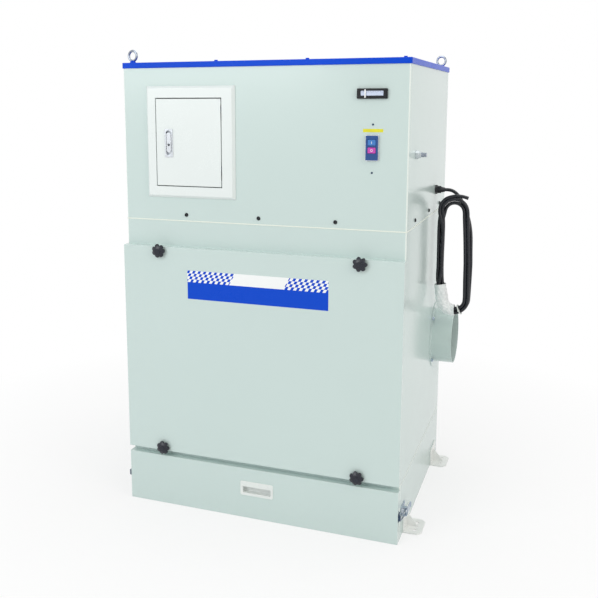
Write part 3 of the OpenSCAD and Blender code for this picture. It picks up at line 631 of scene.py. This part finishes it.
class COLLECTOR_OT_power_cord(bpy.types.Operator):
    """Makes the power cord: its lead from the gland, its hanging coil and its cut end"""
    bl_idname = "collector.power_cord"
    bl_label = "Power Cord"

    def execute(self, context):
        line = cord_route()
        data = bpy.data.curves.new("power_lead", "CURVE")
        data.dimensions = "3D"
        spline = data.splines.new("POLY")
        spline.points.add(len(line) - 1)
        for point, place in zip(spline.points, line):
            point.co = (*place, 1)
        data.bevel_depth = CORD_DIAMETER / 2
        data.bevel_resolution = 4
        data.use_fill_caps = True
        cord = link_object("power_lead", data)
        data.materials.append(bpy.data.materials["cord_rubber"])
        spline.use_smooth = True
        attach(cord, "cabinet")
        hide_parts("power_cord", "cord_coil")
        return {"FINISHED"}


class COLLECTOR_OT_cord_film(bpy.types.Operator):
    """Wraps the white film round the lower left bend of the coil"""
    bl_idname = "collector.cord_film"
    bl_label = "Cord Film"

    def execute(self, context):
        coil = CoilShape()
        (first, last), rows, columns = FILM_SHARES, 52, 64
        points, faces = [], []
        for row in range(rows + 1):
            share = row / rows
            centre, out = coil.middle_line(first + (last - first) * share)
            flare = 0.0016 * (abs(2 * share - 1) ** 8) + 0.0030 * math.sin(math.pi * share)
            for column in range(columns):
                angle = 2 * math.pi * column / columns
                crease = (0.0008 * math.sin(5 * angle + 9 * share)
                          + 0.0006 * math.sin(11 * angle - 23 * share + 1.3)
                          + 0.0007 * math.sin(3 * angle + 37 * share)
                          + 0.0004 * math.sin(2 * angle - 71 * share))
                flat = FILM_RADIUS + flare + crease
                points.append(centre + out * (math.cos(angle) * flat) + Vector((0, math.sin(angle) * flat, 0)))
        for row in range(rows):
            for column in range(columns):
                beside = (column + 1) % columns
                faces.append((row * columns + column, row * columns + beside,
                              (row + 1) * columns + beside, (row + 1) * columns + column))
        data = bpy.data.meshes.new("cord_film")
        data.from_pydata([tuple(p) for p in points], [], faces)
        film = link_object("cord_film", data)
        edit(film, action="SELECT")
        bpy.ops.mesh.normals_make_consistent(inside=False)
        leave_edit()
        apply_modifier(film, "SOLIDIFY", thickness=context.scene.collector_sizes.film_thickness, offset=-1)
        shade_by_angle(film, 60)
        dress(film, "cabinet", "sleeve_white", "film_plastic")
        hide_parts("cord_sleeve")
        return {"FINISHED"}


class COLLECTOR_OT_cord_tie(bpy.types.Operator):
    """Puts the cable tie round the coil, below the film"""
    bl_idname = "collector.cord_tie"
    bl_label = "Cord Tie"

    def execute(self, context):
        centre, out = CoilShape().middle_line(TIE_SHARE)
        along = Vector((0, 1, 0)).cross(out).normalized()
        clear_selection()
        bpy.ops.mesh.primitive_cylinder_add(vertices=48, radius=0.0166, depth=0.0042, end_fill_type="NOTHING")
        band = context.object
        band.name = band.data.name = "cord_tie"
        apply_modifier(band, "SOLIDIFY", thickness=0.0014, offset=1)
        head = block((0.0052, 0.0056, 0.0060), (0.0178, 0, 0))
        end = block((0.0100, 0.0012, 0.0036), (0.0232, 0.0006, 0))
        joined(band, head, end)
        aim(band, centre, along)
        round_edges(band, 0.0003, 2, 40)
        dress(band, "cabinet", "sleeve_white", "tie_nylon")
        return {"FINISHED"}


# The cabinet

class COLLECTOR_OT_materials(bpy.types.Operator):
    """Makes the finishes of all the pieces"""
    bl_idname = "collector.materials"
    bl_label = "Materials"

    def execute(self, context):
        make_materials()
        return {"FINISHED"}


class COLLECTOR_OT_cabinet(bpy.types.Operator):
    """Finishes the walls and makes the folded panels: base, deck, lid, cover and louvre plate"""
    bl_idname = "collector.cabinet"
    bl_label = "Cabinet"

    def execute(self, context):
        for node in ("rear_wall", "upper_rear_wall"):
            finish_node(node, "cabinet_powder_coat")
        for node in ("left_wall", "right_wall", "front_frame", "base_pan", "upper_left_wall", "upper_right_wall",
                     "upper_front_wall"):
            replace_wall(f"painted_{node}", node)
        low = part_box("right_wall")[0]
        for name, start, end in (("right", (SIDE - 0.0002, FRONT + 0.006), (SIDE + 0.0006, REAR - 0.006)),
                                 ("left", (-SIDE - 0.0006, FRONT + 0.006), (-SIDE + 0.0002, REAR - 0.006)),
                                 ("rear", (-SIDE + 0.006, REAR - 0.0002), (SIDE - 0.006, REAR + 0.0006))):
            bead = flat_plate(f"base_seam_{name}", (*start, low.z - 0.0011), (*end, low.z + 0.0011), 0.0002)
            dress(bead, "cabinet", "seam_edge", "seam_paint")
        replace_node("seam_edge", "seam_deck", "cabinet", "seam_edge", "seam_paint", 0.0008)
        replace_node("lid_pan", "lid", "cabinet", "lid_paint", "lid_blue_paint", 0.0022, 3)
        # The cover's bevels get the lighter coat, a painted highlight
        replace_node("cover_pan", "front_cover", "cabinet", "cabinet_paint", "cabinet_powder_coat", 0.0024, 3,
                     more=("cabinet_painted_highlight",), edge=1)
        replace_node("louvre_plate", "exhaust_louvre", "cabinet", "cabinet_paint", "cabinet_powder_coat", 0.0006)
        return {"FINISHED"}


# Turn of the lifting rings, where the eyes stand, and the size of their blue collars
EYE_TURN = math.radians(45)
EYE_SPOTS = (Vector((-0.4485, -0.346, LID_TOP)), Vector((0.4485, 0.346, LID_TOP)))
COLLAR_HEIGHT, COLLAR_RADIUS = 0.0075, 0.0115


class COLLECTOR_OT_lifting_eyes(bpy.types.Operator):
    """Makes the two lifting eyes with collars in the lid's blue"""
    bl_idname = "collector.lifting_eyes"
    bl_label = "Lifting Eyes"

    def execute(self, context):
        eyes = replace_node("lifting_rings", "lifting_eyes", "cabinet", "eye_steel", "polished_steel", 0.0005, 2,
                            40, more=("lid_blue_paint",))
        # The collars take the lid's blue
        paint_faces(eyes, 1, lambda middle, normal: middle.z < LID_TOP + COLLAR_HEIGHT and min(
            (middle.xy - spot.xy).length for spot in EYE_SPOTS) < COLLAR_RADIUS)
        for spot in EYE_SPOTS:
            edit(eyes)
            pick_faces(eyes, lambda middle, normal: middle.x * spot.x > 0)
            bpy.ops.transform.rotate(value=EYE_TURN, orient_axis="Z", center_override=spot)
            leave_edit()
        return {"FINISHED"}


class COLLECTOR_OT_control_box(bpy.types.Operator):
    """Makes the control door with its frame, hinges and flush lock"""
    bl_idname = "collector.control_box"
    bl_label = "Control Box"

    def execute(self, context):
        finish_node("control_box", "box_inner_paint")
        low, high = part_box("control_box")
        back = high.y - 0.0015
        plate = flat_plate("mounting_plate", (low.x + 0.026, back - 0.0140, low.z + 0.026),
                           (high.x - 0.026, back - 0.0120, high.z - 0.026), 0.0003)
        dress(plate, "cabinet", "box_inner", "tray_galvanised")
        corners = [(x, z) for x in (low.x + 0.038, high.x - 0.038) for z in (low.z + 0.038, high.z - 0.038)]
        spots = [((x, back - 0.0140, z), (0, -1, 0)) for x, z in corners]
        copies_at(hex_bolt(0.0115, 0.0050, 0.014), "plate_bolt", spots, "cabinet", "box_inner", "zinc_plate")
        post = cylinder(0.005, 0.012, 0.006, 24)
        spots = [((x, back - 0.0120, z), (0, 1, 0)) for x, z in corners]
        copies_at(post, "plate_post", spots, "cabinet", "box_inner", "zinc_plate")
        replace_node("door_frame", "control_frame", "cabinet", "frame_paint", "white_paint", 0.0014, 3, 25)
        replace_node("door_pan", "control_door", "control_door", "frame_paint", "white_paint", 0.0011, 2)
        replace_node("door_hinges", "control_hinge", "cabinet", "plated_steel", "zinc_plate", 0.0003)
        replace_node("lock_tub", "lock_plate", "control_door", "lock_metal", "brushed_metal", 0.0004)
        lever = replace_node("lock_flap", "lock_lever", "lock_lever", "lock_metal", "brushed_metal", 0.0005, 2,
                             more=("black_oxide",))
        low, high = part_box("lock_lever")
        middle = (low + high) / 2
        paint_faces(lever, 1, lambda face, normal: face.y < low.y + 0.0004 and abs(face.x - middle.x) < 0.0043)
        return {"FINISHED"}


class COLLECTOR_OT_gauge(bpy.types.Operator):
    """Makes the gauge: case, printed scale with its ticks, and the white marker"""
    bl_idname = "collector.gauge"
    bl_label = "Gauge"

    def execute(self, context):
        replace_node("gauge_housing", "gauge_case", "cabinet", "gauge_black", "gauge_gloss_black", 0.0007)
        dial = replace_node("gauge_scale", "gauge_dial", "cabinet", "dial_white", "dial_print", 0.0002, 1,
                            more=("pointer_white",))
        low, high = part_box("gauge_dial")
        paint_faces(dial, 1, lambda middle, normal: middle.y < low.y + 0.0016)
        case_low, case_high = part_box("gauge_case")
        window_y = case_low.y + 0.0015
        centre = (case_low + case_high) / 2
        for index in range(13):
            tall = 0.0058 if index % 3 == 0 else 0.0034
            x = centre.x - 0.030 + index * 0.005
            top = centre.z + 0.0072
            tick = flat_plate(f"scale_tick_{index + 1}", (x - 0.0003, window_y - 0.0002, top - tall),
                              (x + 0.0003, window_y + 0.0001, top), 0.00005)
            dress(tick, "cabinet", "gauge_black", "gauge_gloss_black")
        return {"FINISHED"}


class COLLECTOR_OT_switch(bpy.types.Operator):
    """Makes the push-button switch with its metal rim"""
    bl_idname = "collector.switch"
    bl_label = "Switch"

    def execute(self, context):
        body = replace_node("switch_body", "switch_case", "cabinet", "switch_blue", "switch_blue_plastic", 0.0006,
                            more=("brushed_metal",))
        paint_faces(body, 1, lambda middle, normal: middle.y > FRONT - 0.0046)
        replace_node("start_button", "switch_on_button", "on_button", "button_blue", "start_button_plastic", 0.0007)
        replace_node("stop_button", "switch_off_button", "off_button", "button_red", "stop_button_plastic", 0.0007)
        # marks on the buttons: a bar for on and a ring for off
        on_low, on_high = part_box("switch_on_button")
        off_low, off_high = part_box("switch_off_button")
        middle = (on_low + on_high) / 2
        bar = flat_plate("start_mark", (middle.x - 0.0007, on_low.y - 0.00015, middle.z - 0.0035),
                         (middle.x + 0.0007, on_low.y + 0.0002, middle.z + 0.0035), 0.0001)
        dress(bar, "on_button", "button_blue", "pointer_white")
        clear_selection()
        bpy.ops.mesh.primitive_torus_add(major_radius=0.0032, minor_radius=0.0006, major_segments=40,
                                         minor_segments=10)
        ring = bpy.context.object
        ring.name = ring.data.name = "stop_mark"
        middle = (off_low + off_high) / 2
        aim(ring, (middle.x, off_low.y, middle.z), (0, -1, 0))
        edit(ring, "VERT", "SELECT")
        bpy.ops.transform.resize(value=(1, 0.3, 1), center_override=(middle.x, off_low.y, middle.z))
        leave_edit()
        bpy.ops.object.shade_smooth()
        dress(ring, "off_button", "button_red", "pointer_white")
        return {"FINISHED"}


class COLLECTOR_OT_knobs(bpy.types.Operator):
    """Makes the four star knobs that hold the front cover"""
    bl_idname = "collector.knobs"
    bl_label = "Star Knobs"

    def execute(self, context):
        for place in ("upper_left", "upper_right", "lower_left", "lower_right"):
            knob = replace_node(f"star_knob_{place}", f"knob_{place}", f"knob_{place}", "knob_black",
                                "knob_plastic", 0.0010, 3, 28, more=("zinc_plate",))
            paint_faces(knob, 1, lambda middle, normal: middle.y > COVER_FACE - 0.0002)
        return {"FINISHED"}


class COLLECTOR_OT_drawer(bpy.types.Operator):
    """Makes the dust drawer: front, tray and hand pull"""
    bl_idname = "collector.drawer"
    bl_label = "Dust Drawer"

    def execute(self, context):
        # The drawer front's bevels get the lighter coat, a painted highlight
        replace_node("drawer_pan", "drawer_front", "dust_drawer", "cabinet_paint", "cabinet_powder_coat", 0.0024, 3,
                     more=("cabinet_painted_highlight",), edge=1)
        replace_node("dust_tray", "drawer_tray", "dust_drawer", "plated_steel", "tray_galvanised", 0.0005)
        replace_node("hand_pull", "drawer_pull", "dust_drawer", "pull_white", "pull_plastic", 0.0009, 3)
        return {"FINISHED"}


class COLLECTOR_OT_latches(bpy.types.Operator):
    """Makes the toggle latches on both sides, with their screws"""
    bl_idname = "collector.latches"
    bl_label = "Latches"

    def execute(self, context):
        # The stainless hooks are coloured dark: painted shade and reflection
        replace_node("latch_hooks", "drawer_hooks", "dust_drawer", "hook_dark", "steel_painted_shade", 0.0005)
        replace_node("latch_plates", "latch_bases", "cabinet", "plated_steel", "zinc_plate", 0.0004)
        for side in ("right", "left"):
            replace_node(f"latch_strap_{side}", f"latch_lever_{side}", f"latch_lever_{side}", "plated_steel",
                         "zinc_plate", 0.0005)
            replace_node(f"latch_loop_{side}", f"latch_bail_{side}", f"latch_bail_{side}", "plated_steel",
                         "polished_steel", 0.0007, 2, 40)
        low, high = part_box("latch_bases")
        middle_z = (low.z + high.z) / 2
        spots = [((side * (SIDE + 0.002), y, middle_z + z), (side, 0, 0))
                 for side in (-1, 1) for y in (high.y - 0.006, high.y - 0.020) for z in (-0.0115, 0.0115)]
        screw = cross_screw(0.0055, 0.0016)
        copies_at(screw, "latch_screw", spots, "cabinet", "plated_steel", "zinc_plate")
        hook_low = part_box("drawer_hooks")[0]
        spots = [((side * (SIDE + 0.002), hook_low.y + 0.019, middle_z + z), (side, 0, 0))
                 for side in (-1, 1) for z in (-0.0085, 0.0085)]
        screw = cross_screw(0.0050, 0.0014)
        copies_at(screw, "hook_screw", spots, "dust_drawer", "plated_steel", "zinc_plate")
        return {"FINISHED"}


class COLLECTOR_OT_right_side(bpy.types.Operator):
    """Makes the inlet with its flange bolts, the air fitting, the cord gland and the floor brackets"""
    bl_idname = "collector.right_side"
    bl_label = "Inlet and Fittings"

    def execute(self, context):
        replace_node("inlet_duct", "inlet_spigot", "cabinet", "cabinet_paint", "cabinet_powder_coat", 0.0005)
        fitting = replace_node("air_nipple", "air_fitting", "cabinet", "plated_steel", "bright_zinc", 0.0006, 2, 30,
                               more=("polished_steel",))
        paint_faces(fitting, 1, lambda middle, normal: middle.x > SIDE + 0.0181)
        replace_node("gland_nut", "cord_gland", "cabinet", "gland_black", "gland_nylon", 0.0005, 2, 30)
        replace_node("floor_feet", "floor_brackets", "cabinet", "bracket_white", "bracket_paint", 0.0009)
        low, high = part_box("inlet_spigot")
        middle = (low + high) / 2
        reach = 0.111
        spots = []
        for index in range(4):
            angle = math.radians(45 + 90 * index)
            spots.append(((SIDE + 0.0025, middle.y + reach * math.cos(angle), middle.z + reach * math.sin(angle)),
                          (1, 0, 0)))
        bolt = hex_bolt(context.scene.collector_sizes.flange_bolt, 0.0065, 0.0155)
        copies_at(bolt, "flange_bolt", spots, "cabinet", "plated_steel", "zinc_plate")
        return {"FINISHED"}


class COLLECTOR_OT_labels(bpy.types.Operator):
    """Lays the plain printed strips on the cover and above the switch"""
    bl_idname = "collector.labels"
    bl_label = "Label Strips"

    def execute(self, context):
        strip = flat_plate("cover_label", (-0.240, COVER_FACE - LABEL_STAND, 0.736), (0.240, COVER_FACE + 0.0001, 0.831),
                           0.0001)
        dress(strip, "cabinet", "dial_white", "cover_label_film")
        strip = flat_plate("yellow_strip", (0.334, FRONT - LABEL_STAND, 1.2842), (0.395, FRONT + 0.0001, 1.2940), 0.0001)
        dress(strip, "cabinet", "dial_white", "yellow_film")
        return {"FINISHED"}


class COLLECTOR_OT_screws(bpy.types.Operator):
    """Sets the screws along the seam, at the switch, on the lid and round the louvre plate"""
    bl_idname = "collector.screws"
    bl_label = "Screws"

    def execute(self, context):
        sizes = context.scene.collector_sizes
        z = SEAM + 0.020
        spots = [((x, FRONT, z), (0, -1, 0)) for x in (-0.252, 0, 0.252)]
        spots += [((x, REAR, z), (0, 1, 0)) for x in (-0.252, 0, 0.252)]
        spots += [((side * SIDE, y, z), (side, 0, 0)) for side in (-1, 1) for y in (-0.243, 0.013, 0.243)]
        copies_at(socket_screw(sizes.seam_screw, 0.0042), "seam_screw", spots, "cabinet", "hook_dark", "black_oxide")
        spots = [((0.364, FRONT, 1.307), (0, -1, 0)), ((0.363, FRONT, 1.164), (0, -1, 0))]
        copies_at(cross_screw(sizes.small_screw, 0.0020), "switch_screw", spots, "cabinet", "plated_steel",
                  "steel_painted_shade")
        spots = [((x, y, LID_TOP), (0, 0, 1)) for x in (-0.148, 0.154) for y in (-0.352, 0.352)]
        spots += [((0.452, y, LID_TOP), (0, 0, 1)) for y in (-0.346, 0.0)]
        spots += [((-0.452, y, LID_TOP), (0, 0, 1)) for y in (0.0, 0.346)]
        copies_at(hex_bolt(0.0115, 0.0042, 0.0150), "lid_bolt", spots, "cabinet", "lid_paint", "lid_blue_paint")
        low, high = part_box("exhaust_louvre")
        plate = REAR + 0.002
        spots = [((x, plate, height), (0, 1, 0)) for x in (low.x + 0.009, 0, high.x - 0.009)
                 for height in (low.z + 0.008, high.z - 0.008)]
        copies_at(cross_screw(sizes.small_screw, 0.0020), "louvre_screw", spots, "cabinet", "plated_steel",
                  "zinc_plate")
        return {"FINISHED"}


# The stage

def add_lamp(name, place, target, size, power, colour):
    data = bpy.data.lights.new(name, "AREA")
    data.shape, data.size = "SQUARE", size
    data.energy, data.color = power, colour
    lamp = link_object(name, data)
    lamp.location = place
    lamp.rotation_mode = "QUATERNION"
    lamp.rotation_quaternion = (Vector(place) - Vector(target)).to_track_quat("Z", "Y")


def seen_directly(tree):
    """1 for rays that come from the camera, a mirror or a clear body."""
    path = tree.nodes.new("ShaderNodeLightPath")
    seen = calc(tree, "MAXIMUM", path.outputs["Is Camera Ray"], path.outputs["Is Glossy Ray"])
    return calc(tree, "MAXIMUM", seen, path.outputs["Is Transmission Ray"])


class COLLECTOR_OT_stage(bpy.types.Operator):
    """Makes the white floor and surroundings and sets the lamps"""
    bl_idname = "collector.stage"
    bl_label = "Stage"

    def execute(self, context):
        stage = context.scene.collector_stage
        world = bpy.data.worlds.new("white_room")
        context.scene.world = world
        world.use_nodes = True
        tree = world.node_tree
        background = tree.nodes["Background"]
        grey = (stage.ambient,) * 3
        tree.links.new(blended(tree, seen_directly(tree), grey, (1, 1, 1)), background.inputs["Color"])
        clear_selection()
        bpy.ops.mesh.primitive_circle_add(vertices=96, radius=9, fill_type="NGON", location=(0, 0, -0.0005))
        floor = settle(context.object)
        floor.name = floor.data.name = "studio_floor"
        tree, shader = begin_material("floor_white")
        tree.nodes.remove(shader)
        matt = tree.nodes.new("ShaderNodeBsdfDiffuse")
        matt.inputs["Color"].default_value = (0.9, 0.9, 0.9, 1)
        glow = tree.nodes.new("ShaderNodeEmission")
        place = tree.nodes.new("ShaderNodeTexCoord").outputs["Object"]
        far = tree.nodes.new("ShaderNodeVectorMath")
        far.operation = "LENGTH"
        tree.links.new(place, far.inputs[0])
        whiteness = ranged(tree, far.outputs["Value"], 0.7, 1.0, 0.6, 1.8)
        share = calc(tree, "MULTIPLY", whiteness, seen_directly(tree))
        mix = tree.nodes.new("ShaderNodeMixShader")
        tree.links.new(share, mix.inputs[0])
        tree.links.new(matt.outputs[0], mix.inputs[1])
        tree.links.new(glow.outputs[0], mix.inputs[2])
        tree.links.new(mix.outputs[0], tree.nodes["Material Output"].inputs["Surface"])
        floor.data.materials.append(bpy.data.materials["floor_white"])
        add_lamp("front_lamp", (-1.7, -3.6, 2.6), (0, 0, 0.8), 2.4, stage.key_power, (0.97, 1.0, 1.0))
        add_lamp("right_lamp", (3.0, -1.7, 2.6), (0.3, 0, 1.1), 2.0, stage.side_power, (1.0, 0.97, 0.86))
        add_lamp("upper_lamp", (0.3, 0.4, 4.2), (0, 0, 1.5), 2.6, stage.top_power, (1.0, 1.0, 1.0))
        context.scene.view_settings.view_transform = "Standard"
        return {"FINISHED"}


OPERATORS = (COLLECTOR_OT_camera, COLLECTOR_OT_materials, COLLECTOR_OT_power_cord, COLLECTOR_OT_cord_film,
             COLLECTOR_OT_cord_tie, COLLECTOR_OT_cabinet, COLLECTOR_OT_lifting_eyes,
             COLLECTOR_OT_control_box, COLLECTOR_OT_gauge, COLLECTOR_OT_switch, COLLECTOR_OT_knobs, COLLECTOR_OT_drawer, COLLECTOR_OT_latches,
             COLLECTOR_OT_right_side, COLLECTOR_OT_labels, COLLECTOR_OT_screws, COLLECTOR_OT_stage)


class COLLECTOR_PT_panel(bpy.types.Panel):
    """Lists the steps that dress the dust collector"""
    bl_label = "Dust Collector"
    bl_idname = "COLLECTOR_PT_panel"
    bl_space_type = "VIEW_3D"
    bl_region_type = "UI"
    bl_category = "Dust Collector"

    def draw(self, context):
        for operator in OPERATORS:
            self.layout.operator(operator.bl_idname)
        for group in ("collector_colours", "collector_sizes", "collector_stage"):
            settings = getattr(context.scene, group)
            for name in settings.__annotations__:
                self.layout.prop(settings, name)


CLASSES = (CollectorColours, CollectorSizes, CollectorStage, *OPERATORS, COLLECTOR_PT_panel)


def register():
    for cls in CLASSES:
        bpy.utils.register_class(cls)
    bpy.types.Scene.collector_colours = bpy.props.PointerProperty(type=CollectorColours)
    bpy.types.Scene.collector_sizes = bpy.props.PointerProperty(type=CollectorSizes)
    bpy.types.Scene.collector_stage = bpy.props.PointerProperty(type=CollectorStage)


def unregister():
    del bpy.types.Scene.collector_stage
    del bpy.types.Scene.collector_sizes
    del bpy.types.Scene.collector_colours
    for cls in reversed(CLASSES):
        bpy.utils.unregister_class(cls)


def main():
    register()
    bpy.ops.collector.camera()
    bpy.ops.collector.materials()
    bpy.ops.collector.power_cord()
    bpy.ops.collector.cord_film()
    bpy.ops.collector.cord_tie()
    bpy.ops.collector.cabinet()
    bpy.ops.collector.lifting_eyes()
    bpy.ops.collector.control_box()
    bpy.ops.collector.gauge()
    bpy.ops.collector.switch()
    bpy.ops.collector.knobs()
    bpy.ops.collector.drawer()
    bpy.ops.collector.latches()
    bpy.ops.collector.right_side()
    bpy.ops.collector.labels()
    bpy.ops.collector.screws()
    bpy.ops.collector.stage()


if __name__ == "__main__":
    main()
